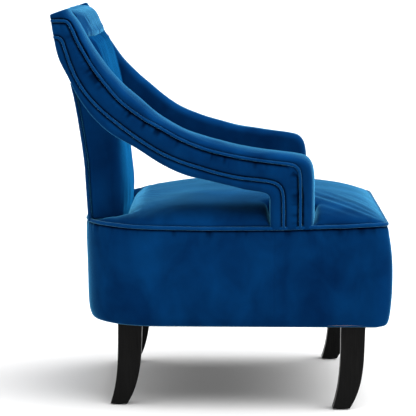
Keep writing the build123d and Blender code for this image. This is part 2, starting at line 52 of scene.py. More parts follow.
# ---- places, all read from the frame ---------------------------------------
BASE_LOW, BASE_HIGH = (np.array(c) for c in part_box("base_cover"))
WELT_LOW, WELT_HIGH = (np.array(c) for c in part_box("seat_welt"))
ARM_LOW, ARM_HIGH = (np.array(c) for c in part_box("arm_cover_left"))
BACK_LOW = np.array(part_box("inner_back_cover")[0])
ROLL_LOW = np.array(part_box("top_roll_cover")[0])
WELT_Z = (WELT_LOW[2] + WELT_HIGH[2]) / 2


# ---- small helpers ---------------------------------------------------------
def through(points, count):
    """A smooth line through the points (Catmull-Rom), as count evenly stepped rows."""
    p = np.array(points, float)
    p = np.vstack([2 * p[0] - p[1], p, 2 * p[-1] - p[-2]])
    spans = len(p) - 3
    t = np.linspace(0, spans, count)
    i = np.minimum(t.astype(int), spans - 1)
    f = (t - i)[:, None]
    a, b, c, d = p[i], p[i + 1], p[i + 2], p[i + 3]
    squared = (2 * a - 5 * b + 4 * c - d) * f ** 2
    cubed = (3 * b - a - 3 * c + d) * f ** 3
    return 0.5 * (2 * b + (c - a) * f + squared + cubed)


def through_values(values, count):
    """A smooth run of single values through the given ones."""
    return through(np.stack([values, values], axis=1), count)[:, 0]


def even(line, count):
    """The same line, resampled to even steps."""
    step = np.r_[0, np.cumsum(np.linalg.norm(np.diff(line, axis=0), axis=1))]
    at = np.linspace(0, step[-1], count)
    return np.stack([np.interp(at, step, line[:, k]) for k in range(line.shape[1])], axis=1)


def nearest(points, line):
    """For each point: its distance to a line, and how far along the line it lies."""
    a = line[:-1]
    b = line[1:]
    span = b - a
    length = np.linalg.norm(span, axis=1)
    start = np.r_[0, np.cumsum(length)][:-1]
    best = np.full(len(points), 1e9)
    along = np.zeros(len(points))
    for k in range(len(a)):
        t = np.clip(((points - a[k]) @ span[k]) / max(length[k] ** 2, 1e-12), 0, 1)
        d = np.linalg.norm(points - (a[k] + t[:, None] * span[k]), axis=1)
        closer = d < best
        best[closer] = d[closer]
        along[closer] = start[k] + t[closer] * length[k]
    return best, along


NOISE_GAIN = 1.6  # brings Perlin noise to about -1 to 1


def wave(x, seed):
    """Smooth seeded noise along a line, about -1 to 1."""
    values = [noise.noise(Vector((v, seed * 7.31, 0.5))) for v in np.ravel(x)]
    return np.array(values).reshape(np.shape(x)) * NOISE_GAIN


def cloud(points, size, seed):
    """Smooth seeded noise in space, about -1 to 1."""
    flat = points.reshape(-1, 3) / size
    shift = Vector((seed * 3.7, seed * 1.9, seed * 5.3))
    values = [noise.noise(Vector(p) + shift) for p in flat]
    return np.array(values).reshape(points.shape[:-1]) * NOISE_GAIN


def bell(x, width):
    """1 at nought, falling smoothly to nothing about two widths away."""
    return np.exp(-(x / width) ** 2)


def step_up(x, low, high):
    """0 below low, 1 above high and a smooth rise between."""
    t = np.clip((x - low) / (high - low), 0, 1)
    return t * t * (3 - 2 * t)


def grid_piece(name, grid, material, around=False, close_ends=False):
    """A mesh from a grid of points; around joins the last column to the first."""
    rows, cols = grid.shape[:2]
    faces = []
    for i in range(rows - 1):
        for j in range(cols if around else cols - 1):
            k = (j + 1) % cols
            faces.append((i * cols + j, i * cols + k, (i + 1) * cols + k, (i + 1) * cols + j))
    points = [tuple(p) for p in grid.reshape(-1, 3)]
    if close_ends:
        for row in (0, rows - 1):
            centre = len(points)
            points.append(tuple(grid[row].mean(axis=0)))
            for j in range(cols):
                faces.append((row * cols + j, row * cols + (j + 1) % cols, centre))
    mesh = bpy.data.meshes.new(name)
    mesh.from_pydata(points, [], faces)
    work = bmesh.new()
    work.from_mesh(mesh)
    bmesh.ops.recalc_face_normals(work, faces=work.faces)
    work.to_mesh(mesh)
    work.free()
    mesh.shade_smooth()
    piece = bpy.data.objects.new(name, mesh)
    piece.data.materials.append(material)
    bpy.context.scene.collection.objects.link(piece)
    return piece


def mark_painted_shade(piece, amount):
    """Record, vertex by vertex, how much painted shade darkens the velvet."""
    values = np.zeros(len(piece.data.vertices), np.float32)
    values[:amount.size] = np.clip(amount, 0, 1).ravel()
    painted_shade = piece.data.attributes.new("painted_shade", "FLOAT", "POINT")
    painted_shade.data.foreach_set("value", values)


PIPING_SIDES = 14
PIPING_LUMP = 0.05
LUMP_SPACING = 0.011


def tube(name, line, radius, material, closed=False):
    """Round piping along a line of points, with the slight unevenness of sewn cord."""
    n = len(line)
    ahead = np.roll(line, -1, axis=0) - np.roll(line, 1, axis=0)
    if not closed:
        ahead[0] = line[1] - line[0]
        ahead[-1] = line[-1] - line[-2]
    ahead /= np.linalg.norm(ahead, axis=1)[:, None]
    side = np.cross(ahead, (0.0, 0.0, 1.0))
    flat = np.linalg.norm(side, axis=1) < 0.2
    side[flat] = np.cross(ahead[flat], (1.0, 0.0, 0.0))
    side /= np.linalg.norm(side, axis=1)[:, None]
    for i in range(1, n):
        if side[i] @ side[i - 1] < 0:
            side[i] *= -1
        side[i] = side[i - 1] - ahead[i] * (side[i - 1] @ ahead[i])
        side[i] /= np.linalg.norm(side[i])
    up = np.cross(side, ahead)
    angle = np.linspace(0, 2 * math.pi, PIPING_SIDES, endpoint=False)
    run = np.r_[0, np.cumsum(np.linalg.norm(np.diff(line, axis=0), axis=1))]
    thick = radius * (1 + PIPING_LUMP * wave(run / LUMP_SPACING, 3.0))
    ring = np.cos(angle)[None, :, None] * side[:, None, :] + np.sin(angle)[None, :, None] * up[:, None, :]
    grid = line[:, None, :] + ring * thick[:, None, None]
    if closed:
        grid = np.concatenate([grid, grid[:1]])
    return grid_piece(name, grid, material, around=True, close_ends=not closed)


def add_subdivision(piece):
    subdivision = piece.modifiers.new("subdivision", "SUBSURF")
    subdivision.levels = 1
    subdivision.render_levels = 1


# ---- materials -------------------------------------------------------------
def new_material(name):
    """A material with its nodes, its links and its main shader."""
    material = bpy.data.materials.new(name)
    material.use_nodes = True
    tree = material.node_tree
    return material, tree.nodes, tree.links, tree.nodes["Principled BSDF"]


def noise_node(nodes, links, coords, scale, detail, stretch=None, roughness=0.5, distortion=0.0):
    """Noise in object space, with a stretch along each axis."""
    if stretch:
        mapping = nodes.new("ShaderNodeMapping")
        mapping.inputs["Scale"].default_value = stretch
        links.new(coords, mapping.inputs["Vector"])
        coords = mapping.outputs["Vector"]
    texture = nodes.new("ShaderNodeTexNoise")
    texture.inputs["Scale"].default_value = scale
    texture.inputs["Detail"].default_value = detail
    texture.inputs["Roughness"].default_value = roughness
    texture.inputs["Distortion"].default_value = distortion
    links.new(coords, texture.inputs["Vector"])
    return texture.outputs["Fac"]


def ramp(nodes, links, fac, stops):
    """Turns a value into a colour, through (place, colour) stops."""
    node = nodes.new("ShaderNodeValToRGB")
    band = node.color_ramp
    while len(band.elements) < len(stops):
        band.elements.new(0.5)
    for element, (place, colour) in zip(band.elements, stops):
        element.position = place
        element.color = (*colour, 1.0)
    links.new(fac, node.inputs["Fac"])
    return node.outputs["Color"]


def bump(nodes, links, height, strength, distance, normal=None):
    """A bump, laid over an earlier one where a normal is given."""
    node = nodes.new("ShaderNodeBump")
    node.inputs["Strength"].default_value = strength
    node.inputs["Distance"].default_value = distance
    links.new(height, node.inputs["Height"])
    if normal:
        links.new(normal, node.inputs["Normal"])
    return node.outputs["Normal"]


def mix_colour(nodes, links, share, one, two, blend="MIX"):
    """Mixes two colour outputs by a fixed share."""
    node = nodes.new("ShaderNodeMix")
    node.data_type = "RGBA"
    node.blend_type = blend
    node.inputs["Factor"].default_value = share
    for name, colour in (("A", one), ("B", two)):
        links.new(colour, [s for s in node.inputs if s.name == name and s.type == "RGBA"][0])
    return [s for s in node.outputs if s.type == "RGBA"][0]


def grey(value):
    return (value, value, value)


WHITE = (1.0, 1.0, 1.0)
# The colour that painted shade multiplies into the velvet: shadow below the piping, in folds and in pucker
# hollows.
PAINTED_SHADE_COLOUR = (0.10, 0.12, 0.16)


def velvet(name, deep, mid, pale, sheen=1.0, sheen_tint=(0.12, 0.58, 1.0, 1.0)):
    """Short-pile velvet: brushed patches, a sheen, fine pile bump, and painted shade where the mesh marks it.
    """
    material, nodes, links, shader = new_material(name)
    coords = nodes.new("ShaderNodeTexCoord").outputs["Object"]
    patches = noise_node(nodes, links, coords, 9.0, 3.0, distortion=0.6)
    strokes = noise_node(nodes, links, coords, 17.0, 3.0, stretch=(1.0, 1.0, 0.7), distortion=0.5)
    pile = noise_node(nodes, links, coords, 1500.0, 2.0)
    brushed = ramp(nodes, links, patches, ((0.25, deep), (0.75, mid)))
    stroked = ramp(nodes, links, strokes, ((0.35, deep), (0.75, pale)))
    colour = mix_colour(nodes, links, 0.22, brushed, stroked)
    flecks = ramp(nodes, links, pile, ((0.35, grey(0.7)), (0.65, WHITE)))
    colour = mix_colour(nodes, links, 0.4, colour, flecks, "MULTIPLY")
    # Painted shade: the mesh's per-vertex amount darkens the base colour toward the shade colour.
    painted_shade = nodes.new("ShaderNodeAttribute")
    painted_shade.attribute_name = "painted_shade"
    shade_tint = ramp(nodes, links, painted_shade.outputs["Fac"], ((0.0, WHITE), (1.0, PAINTED_SHADE_COLOUR)))
    colour = mix_colour(nodes, links, 1.0, colour, shade_tint, "MULTIPLY")
    links.new(colour, shader.inputs["Base Color"])
    rough = ramp(nodes, links, strokes, ((0.3, grey(0.62)), (0.7, grey(0.85))))
    links.new(rough, shader.inputs["Roughness"])
    shader.inputs["Specular IOR Level"].default_value = 0.0
    shader.inputs["Specular Tint"].default_value = (0.03, 0.25, 0.65, 1.0)
    shader.inputs["Sheen Weight"].default_value = sheen
    shader.inputs["Sheen Roughness"].default_value = 0.25
    shader.inputs["Sheen Tint"].default_value = sheen_tint
    soft = bump(nodes, links, strokes, 0.25, 0.0015)
    fine = bump(nodes, links, pile, 0.35, 0.0004, soft)
    links.new(fine, shader.inputs["Normal"])
    return material


def lacquered_wood(name, dark, lighter, roughness):
    """Stained wood under satin lacquer, with long grain and small open pores."""
    material, nodes, links, shader = new_material(name)
    coords = nodes.new("ShaderNodeTexCoord").outputs["Object"]
    grain = noise_node(nodes, links, coords, 70.0, 5.0, stretch=(6.0, 6.0, 0.35), distortion=0.5)
    pores = noise_node(nodes, links, coords, 500.0, 2.0, stretch=(1.0, 1.0, 0.06))
    scuffs = noise_node(nodes, links, coords, 30.0, 4.0)
    links.new(ramp(nodes, links, grain, ((0.3, dark), (0.75, lighter))), shader.inputs["Base Color"])
    rough = ramp(nodes, links, scuffs, ((0.3, grey(roughness - 0.06)), (0.7, grey(roughness + 0.10))))
    links.new(rough, shader.inputs["Roughness"])
    shader.inputs["Specular IOR Level"].default_value = 0.05
    shader.inputs["Coat Weight"].default_value = 0.02
    shader.inputs["Coat Roughness"].default_value = 0.3
    ribs = bump(nodes, links, grain, 0.12, 0.0006)
    links.new(bump(nodes, links, pores, 0.15, 0.0003, ribs), shader.inputs["Normal"])
    return material


def raw_wood(name, dark, pale):
    """Sawn, unfinished wood."""
    material, nodes, links, shader = new_material(name)
    coords = nodes.new("ShaderNodeTexCoord").outputs["Object"]
    grain = noise_node(nodes, links, coords, 45.0, 6.0, stretch=(0.4, 4.0, 4.0), distortion=0.8)
    saw = noise_node(nodes, links, coords, 400.0, 2.0, stretch=(1.0, 0.1, 1.0))
    links.new(ramp(nodes, links, grain, ((0.3, dark), (0.7, pale))), shader.inputs["Base Color"])
    shader.inputs["Roughness"].default_value = 0.75
    links.new(bump(nodes, links, saw, 0.3, 0.0004), shader.inputs["Normal"])
    return material


def soft_stuff(name, dark, pale, scale, strength):
    """Foam, wadding, felt or webbing: a matt surface with visible cells or fibres."""
    material, nodes, links, shader = new_material(name)
    coords = nodes.new("ShaderNodeTexCoord").outputs["Object"]
    cells = noise_node(nodes, links, coords, scale, 4.0, roughness=0.7)
    links.new(ramp(nodes, links, cells, ((0.35, dark), (0.65, pale))), shader.inputs["Base Color"])
    shader.inputs["Roughness"].default_value = 0.95
    shader.inputs["Sheen Weight"].default_value = 0.2
    links.new(bump(nodes, links, cells, strength, 0.001), shader.inputs["Normal"])
    return material


def metal(name, tint, roughness):
    """Drawn or plated steel, faintly stained and brushed along its length."""
    material, nodes, links, shader = new_material(name)
    coords = nodes.new("ShaderNodeTexCoord").outputs["Object"]
    brushed = noise_node(nodes, links, coords, 600.0, 3.0, stretch=(0.1, 1.0, 1.0))
    stain = noise_node(nodes, links, coords, 60.0, 4.0)
    darker = tuple(c * 0.75 for c in tint)
    links.new(ramp(nodes, links, stain, ((0.35, darker), (0.65, tint))), shader.inputs["Base Color"])
    shader.inputs["Metallic"].default_value = 1.0
    rough = ramp(nodes, links, brushed, ((0.3, grey(roughness)), (0.7, grey(roughness + 0.15))))
    links.new(rough, shader.inputs["Roughness"])
    return material


VELVET = velvet("velvet", (0.0006, 0.011, 0.048), (0.001, 0.027, 0.104), (0.002, 0.054, 0.18))
# A shaded copy of the velvet for the inner back: half the sheen, a bluer sheen tint and a darker pale colour
# paint shade onto it.
VELVET_SHADED_COPY = velvet(
    "velvet_shaded_copy", (0.0006, 0.011, 0.048), (0.001, 0.026, 0.102), (0.002, 0.050, 0.165),
    sheen=0.5, sheen_tint=(0.02, 0.42, 1.0, 1.0),
)
# The piping: a paler copy of the velvet with a whiter sheen tint, painting a highlight along every cord.
PIPING_PAINTED_HIGHLIGHT = velvet(
    "velvet_piping", (0.001, 0.022, 0.085), (0.002, 0.036, 0.13), (0.003, 0.062, 0.20),
    sheen_tint=(0.30, 0.75, 1.0, 1.0),
)
LEG_WOOD = lacquered_wood("black_leg_wood", grey(0.0018), (0.005, 0.0049, 0.0047), 0.36)
SLOT_MATERIALS = {
    "velvet": VELVET,
    "velvet_piping": PIPING_PAINTED_HIGHLIGHT,
    "leg_wood": LEG_WOOD,
    "frame_wood": raw_wood("frame_wood", (0.36, 0.22, 0.11), (0.60, 0.42, 0.24)),
    "plywood": raw_wood("plywood", (0.42, 0.28, 0.15), (0.66, 0.48, 0.29)),
    "hardboard": raw_wood("hardboard", (0.12, 0.07, 0.04), (0.20, 0.12, 0.07)),
    "foam": soft_stuff("foam", (0.62, 0.55, 0.38), (0.80, 0.74, 0.56), 900.0, 0.5),
    "wadding": soft_stuff("wadding", (0.70, 0.70, 0.68), (0.88, 0.88, 0.86), 300.0, 0.8),
    "felt": soft_stuff("felt", (0.12, 0.11, 0.10), (0.26, 0.24, 0.21), 500.0, 0.7),
    "webbing": soft_stuff("webbing", (0.08, 0.05, 0.03), (0.18, 0.13, 0.08), 700.0, 0.5),
    "dust_cloth": soft_stuff("dust_cloth", grey(0.006), grey(0.02), 1200.0, 0.4),
    "spring_steel": metal("spring_steel", (0.22, 0.22, 0.23), 0.35),
    "zinc_steel": metal("zinc_steel", (0.62, 0.62, 0.60), 0.30),
    "glide_plastic": soft_stuff("glide_plastic", grey(0.01), grey(0.02), 800.0, 0.1),
}


def dress_cad_nodes():
    """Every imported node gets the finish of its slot."""
    slots = {row["node"]: row["material_slot"] for row in frame["record"]["subparts"]}
    for name, node in frame["nodes"].items():
        material = SLOT_MATERIALS[slots[name]]
        if not node.data.materials:
            node.data.materials.append(material)
        for place in range(len(node.material_slots)):
            node.material_slots[place].material = material


def add_piece(piece, slot_name, *nodes, fill=None):
    """Hangs a piece from the frame's root and hides the nodes it stands for. Its slot and its fill are not
    used.
    """
    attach(piece, "root")
    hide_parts(*nodes)


# ---- arms ------------------------------------------------------------------
# Each station pairs a point on the arm's upper edge with one on its lower edge, in millimetres:
# forward of the arm's rearmost place, and above its foot.
ARM_STATIONS = (
    (567, -8, 469.5, -8), (567, 34, 469.5, 22), (567, 76, 469.5, 43), (566, 107, 469.5, 55),
    (561, 130, 467, 62.5), (549, 144.5, 462, 67), (527, 151, 452, 70.5), (492.5, 155.5, 432, 73.5),
    (448.5, 161, 411, 77), (405.5, 168, 389.5, 83), (361.5, 179, 338, 95.5), (317.5, 192, 288, 108),
    (274.5, 209, 236, 131.5), (231.5, 235, 182.5, 166), (188.5, 270, 129.5, 196), (153.5, 301, 90.5, 232),
    (123.5, 333, 61.5, 271), (102.5, 362, 38.5, 316), (80.5, 396, 18.5, 356), (59.5, 433, 8.5, 397),
    (40.5, 461, 0.5, 446),
)
UPPER_WELT = (
    (534.5, -4), (534.5, 34), (534.5, 64), (533.5, 105), (531, 119), (524, 128), (512, 132.5), (490.5, 135.2),
    (448.5, 140.2), (405.5, 147.2), (362.5, 156.2), (320.5, 168.2), (277.5, 186.2), (234.5, 210.2),
    (192.5, 234.2), (149.5, 267.2), (119, 302), (96, 332), (77.5, 361.2), (59, 394), (47, 421), (38, 434.5),
    (26, 437.5), (3, 437.2),
)
LOWER_WELT = (
    (498.5, -4), (498.5, 34), (497.5, 64), (493.5, 79.5), (484.5, 89.5), (469, 95.2), (448.5, 98.2),
    (405.5, 103.2), (362.5, 112.2), (320.5, 124.2), (277.5, 138.2), (234.5, 157.2), (192.5, 183.2),
    (149.5, 214.2), (107.5, 249.2), (79, 280), (58, 312), (43.5, 344.2), (34, 373), (26, 395), (17, 402),
    (8.5, 402.5),
)
ARM_THICK = ARM_HIGH[0] - ARM_LOW[0]
ARM_FOOT_Z = ARM_LOW[2]
ARM_REAR_Y = ARM_HIGH[1]
# The section, in millimetres: round low edges, and a crown nearer the inner face.
ARM_LOW_RADIUS = 14
ARM_CROWN_ACROSS = 20
ARM_INNER_DROP = 16
ARM_OUTER_DROP = 21
ARM_TOP_POWER = 2 / 2.6
# The cover's relief. Heights are in millimetres, and distances across and along it in metres.
UPPER_SEAM_DEPTH, UPPER_SEAM_WIDTH = 6.4, 0.0050
LOWER_SEAM_DEPTH, LOWER_SEAM_WIDTH = 6.0, 0.0062
SEAM_OFFSET = 0.0022
PADDING_RISE, PADDING_EASE = 3.4, 0.013
BAND_WIDTH = 0.047
PUCKER_SPACING, PUCKER_HEIGHT = 0.0085, 2.3
PUCKER_REACH = 0.009
PUCKER_FROM_SEAM = 0.011
# How far below each seam the painted shade is darkest, in metres.
SHADE_BELOW_SEAM = 0.0042
PIPING_LIFT = 0.0052
ARM_PIPING_RADIUS = 0.0031


def arm_place(forward, up):
    """Y and Z in metres from millimetres forward of the arm's rear and above its foot."""
    return ARM_REAR_Y - forward * MM, ARM_FOOT_Z + up * MM


def arm_section(height):
    """A section across an arm: across from the inner face, and up from the lower edge, in millimetres."""
    thick = ARM_THICK / MM
    quarter = np.linspace(0, math.pi / 2, 27)
    low, crown = ARM_LOW_RADIUS, ARM_CROWN_ACROSS
    inner_spring = height - ARM_INNER_DROP
    outer_spring = height - ARM_OUTER_DROP
    inner_face = [(0.0, v) for v in np.linspace(low, inner_spring, 22)]
    inner_top = [
        (crown - crown * math.cos(a), inner_spring + ARM_INNER_DROP * math.sin(a))
        for a in quarter[3::3]
    ]
    outer_top = [
        (
            crown + (thick - crown) * math.sin(a) ** ARM_TOP_POWER,
            outer_spring + ARM_OUTER_DROP * math.cos(a) ** ARM_TOP_POWER,
        )
        for a in quarter[1:]
    ]
    outer_face = [(thick, v) for v in np.linspace(outer_spring, low, 46)[1:]]
    outer_low = [(thick - low + low * math.cos(a), low - low * math.sin(a)) for a in quarter[4::4]]
    under = [(v, 0.0) for v in np.linspace(thick - low, low, 12)[1:]]
    inner_low = [(low - low * math.sin(a), low - low * math.cos(a)) for a in quarter[4:-1:4]]
    return np.array(inner_face + inner_top + outer_top + outer_face + outer_low + under + inner_low)


def welt_on_side(points):
    """A welt's Y and Z along an arm's outer face, in metres and finely stepped."""
    line = through(points, 400)
    y, z = arm_place(line[:, 0], line[:, 1])
    return even(np.stack([y, z], axis=1), 260)


def arm_stations(count):
    """Upper and lower edge points along the arm, evenly spread by their mean run."""
    line = through(ARM_STATIONS, 2400)
    upper_step = np.linalg.norm(np.diff(line[:, :2], axis=0), axis=1)
    lower_step = np.linalg.norm(np.diff(line[:, 2:], axis=0), axis=1)
    run = np.r_[0, np.cumsum(upper_step + lower_step)]
    at = np.linspace(0, run[-1], count)
    rows = np.stack([np.interp(at, run, line[:, k]) for k in range(4)], axis=1)
    upper = np.stack(arm_place(rows[:, 0], rows[:, 1]), axis=1)
    lower = np.stack(arm_place(rows[:, 2], rows[:, 3]), axis=1)
    return upper, lower


def arm_relief(side_points, upper_welt, lower_welt, seed):
    """How far the outer face stands out of its plane (seams drawn in, padding full between, and puckers),
    and how much painted shade darkens it below the seams and in the pucker hollows."""
    to_upper, along = nearest(side_points, upper_welt)
    to_lower, along_lower = nearest(side_points, lower_welt)
    in_band = step_up(BAND_WIDTH - to_lower, 0.0, 0.006)
    under_upper = np.where(in_band > 0.5, 1, -1) * to_upper
    below_seam = bell(to_upper - PUCKER_FROM_SEAM, PUCKER_REACH) * in_band
    seams = -UPPER_SEAM_DEPTH * bell(under_upper - SEAM_OFFSET, UPPER_SEAM_WIDTH)
    seams = seams - LOWER_SEAM_DEPTH * bell(to_lower, LOWER_SEAM_WIDTH)
    full = PADDING_RISE * (1 - bell(to_upper, PADDING_EASE)) * (1 - bell(to_lower, PADDING_EASE))
    tight = 0.35 + 0.65 * step_up(along, 0.28, 0.45)
    fine = wave(along / PUCKER_SPACING, seed)
    puckers = (fine + 0.6 * wave(along / 0.019, seed + 2)) * below_seam * PUCKER_HEIGHT * tight
    low_puckers = wave(along_lower / 0.013, seed + 5) * bell(to_lower - 0.008, 0.008) * 0.45
    sway = 0.7 * wave(along / 0.055, seed + 9) * in_band
    relief = (seams + full + puckers + low_puckers + sway) * MM
    # Painted shade in the grooves below the upper and lower piping.
    painted_shade = bell(under_upper - SHADE_BELOW_SEAM, 0.0030)
    painted_shade = painted_shade + 0.85 * bell(to_lower - SHADE_BELOW_SEAM, 0.0022)
    # Painted shade in the hollows of the puckers under the upper piping.
    pucker_shade = np.clip(-fine - 0.5 * wave(along / 0.030, seed + 7), 0, 1) * below_seam * 0.75
    return relief, painted_shade + pucker_shade


def arm_end(grid):
    """Rings that round off the arm's top rear end and close it in."""
    ahead = grid[-1].mean(axis=0) - grid[-4].mean(axis=0)
    ahead /= np.linalg.norm(ahead)
    middle = grid[-1].mean(axis=0)
    rings = []
    for turn in np.linspace(0, math.pi / 2, 9)[1:]:
        turned = 1 - math.cos(turn)
        shrink = 1 - turned * 0.22
        ring = middle + (grid[-1] - middle) * np.array([1 - turned * 0.13, shrink, shrink])
        rings.append(ring + ahead * math.sin(turn) * 0.006)
    rim = rings[-1]
    centre = rim.mean(axis=0)
    for share in (0.75, 0.5, 0.25):
        rings.append(centre + (rim - centre) * share + ahead * 0.0006 * (1 - share))
    return np.array(rings)


def build_arm_piping(name, side, level, line, face_points):
    """One line of piping, lying on the cover's outer face."""
    across = []
    for point in line:
        near = np.argmin(np.linalg.norm(face_points[:, 1:] - point, axis=1))
        across.append(face_points[near, 0])
    across = np.convolve(np.pad(across, 4, mode="edge"), np.ones(9) / 9, mode="valid")
    path = np.concatenate([(across + PIPING_LIFT)[:, None], line], axis=1)
    path[:, 0] *= side
    piping = tube("arm_piping_" + level + "_" + name, path, ARM_PIPING_RADIUS, PIPING_PAINTED_HIGHLIGHT)
    add_piece(piping, "velvet_piping", "arm_welt_" + level + "_" + name)


def build_arm(name, side):
    upper, lower = arm_stations(340)
    rows = []
    for top, low in zip(upper, lower):
        height = np.linalg.norm(top - low)
        up = (top - low) / height
        section = arm_section(height / MM) * MM
        place = low[None, :] + section[:, 1:] * up[None, :]
        across = ARM_LOW[0] + section[:, :1]
        rows.append(np.concatenate([across, place], axis=1))
    grid = np.array(rows)
    grid = np.concatenate([grid, arm_end(grid)])
    upper_welt = welt_on_side(UPPER_WELT)
    lower_welt = welt_on_side(LOWER_WELT)
    outer = step_up(grid[..., 0], ARM_HIGH[0] - 0.022, ARM_HIGH[0] - 0.001)
    relief = np.zeros(grid.shape[:2])
    painted_shade = np.zeros(grid.shape[:2])
    facing = outer > 0
    relief[facing], painted_shade[facing] = arm_relief(grid[facing][:, 1:], upper_welt, lower_welt, 3.0 + side)
    grid[..., 0] += relief * outer
    inner = step_up(ARM_LOW[0] + 0.012 - grid[..., 0], 0.0, 0.010)
    grid[..., 0] -= inner * 0.0012 * (1 + cloud(grid, 0.07, 4 + side))
    grid[..., 2] -= 0.0024 * step_up(grid[..., 2], ARM_HIGH[2] - 0.026, ARM_HIGH[2])
    crown = 1 - outer - inner
    grid[..., 2] += crown * 0.0009 * cloud(grid, 0.05, 8 + side)
    grid[..., 2] = np.maximum(grid[..., 2], ARM_FOOT_Z - 0.010)
    face_points = grid[outer > 0.05]
    grid[..., 0] *= side
    arm = grid_piece("arm_" + name, grid, VELVET, around=True, close_ends=True)
    mark_painted_shade(arm, painted_shade * outer)
    paddings = ["arm_padding_" + place + "_" + name for place in ("front", "middle", "rear")]
    add_piece(arm, "velvet", "arm_cover_" + name, *paddings, fill=0.9)
    build_arm_piping(name, side, "upper", upper_welt, face_points)
    build_arm_piping(name, side, "lower", lower_welt, face_points)


# ---- base ------------------------------------------------------------------
FRONT_RADIUS = 0.042
REAR_RADIUS = 0.165
REAR_NARROWING = 0.0128


def plan_line(count):
    """The base's plan, anticlockwise from the middle of the rear: round corners, larger at the rear."""
    half = BASE_HIGH[0]
    rear_half = half - REAR_NARROWING
    front, rear = BASE_LOW[1], BASE_HIGH[1]
    corners = (
        ((-rear_half, rear), REAR_RADIUS), ((-half, front), FRONT_RADIUS),
        ((half, front), FRONT_RADIUS), ((rear_half, rear), REAR_RADIUS),
    )
    line = [np.array((0.0, rear))]
    for i, (corner, radius) in enumerate(corners):
        here = np.array(corner)
        before = np.array(corners[i - 1][0]) - here
        after = np.array(corners[(i + 1) % 4][0]) - here
        before /= np.linalg.norm(before)
        after /= np.linalg.norm(after)
        half_turn = math.acos(before @ after) / 2
        start = here + before * radius / math.tan(half_turn)
        middle = before + after
        centre = here + middle / np.linalg.norm(middle) * radius / math.sin(half_turn)
        first = math.atan2(*(start - centre)[::-1])
        sweep = math.pi - 2 * half_turn
        for turn in np.linspace(0, sweep, 60):
            line.append(centre + radius * np.array((math.cos(first + turn), math.sin(first + turn))))
    line.append(np.array((0.0, rear)))
    return even(np.array(line), count + 1)[:-1]


def outward(line):
    """Outward normals of a closed anticlockwise plan line."""
    ahead = np.roll(line, -1, axis=0) - np.roll(line, 1, axis=0)
    ahead /= np.linalg.norm(ahead, axis=1)[:, None]
    return np.stack([ahead[:, 1], -ahead[:, 0]], axis=1)


def seam_height(line):
    """The piped seam's height round the base: it dips along the sides and rises at the front corners."""
    depth = (line[:, 1] - BASE_LOW[1]) / (BASE_HIGH[1] - BASE_LOW[1])
    rise = np.interp(depth, (0, 0.04, 0.14, 0.35, 0.62, 0.85, 1.0), (4.5, 6.5, 3.0, -2.0, -3.5, -0.5, 2.5))
    return WELT_Z + rise * MM


# The band's section: heights over its lower edge, and how far it stands out of the plan line at the front,
# the sides and the rear, in millimetres.
BAND_HEIGHTS = np.array((221, 219, 212, 200, 182, 157, 132, 100, 69, 37, 20, 10, 5, 2.2, 0.8, 0.0))
BAND_FRONT = np.array((-15, -12, -10.5, -8.5, -5.5, -2.5, -0.6, 0, -0.5, -3, -5.4, -8, -10.5, -13.5, -17, -22))
BAND_SIDE = np.array((-8, -5, -4.0, -3.2, -2.2, -1.0, -0.2, 0, -0.4, -2.2, -5, -9, -12.5, -16, -20, -26))
BAND_REAR = np.array((-4, -1.0, -0.4, 0, 0, -0.4, -0.8, -1.2, -1.8, -3.2, -5.4, -8.4, -11, -14, -17.5, -23))
BAND_ROWS = 96
SIDE_SEAM_Y = -0.110
# Heights of the band's relief are in millimetres, and distances below its top seam in metres.
FOLD_HEIGHT, SWAY_HEIGHT = 1.5, 1.3
GROOVE_DEPTH, GROOVE_BELOW, GROOVE_WIDTH = 2.4, 0.0045, 0.0035
SIDE_SEAM_DEPTH = 0.9
# How far each added ring lies inside the band's edge, and how far it drops or rises, in metres.
UNDER_RINGS = ((0.026, 0.0), (0.034, 0.0008), (0.044, 0.001))
INSIDE_RINGS = ((0.020, 0.001), (0.010, 0.0015))
SEAT_PIPING_RADIUS = 0.0040
# How far the piping's centre lies inside the plan line, by how far the line faces the rear.
PIPING_FACING = (-1, -0.3, 0.3, 1)
PIPING_INSET = (0.0125, 0.005, 0.003, 0.0022)


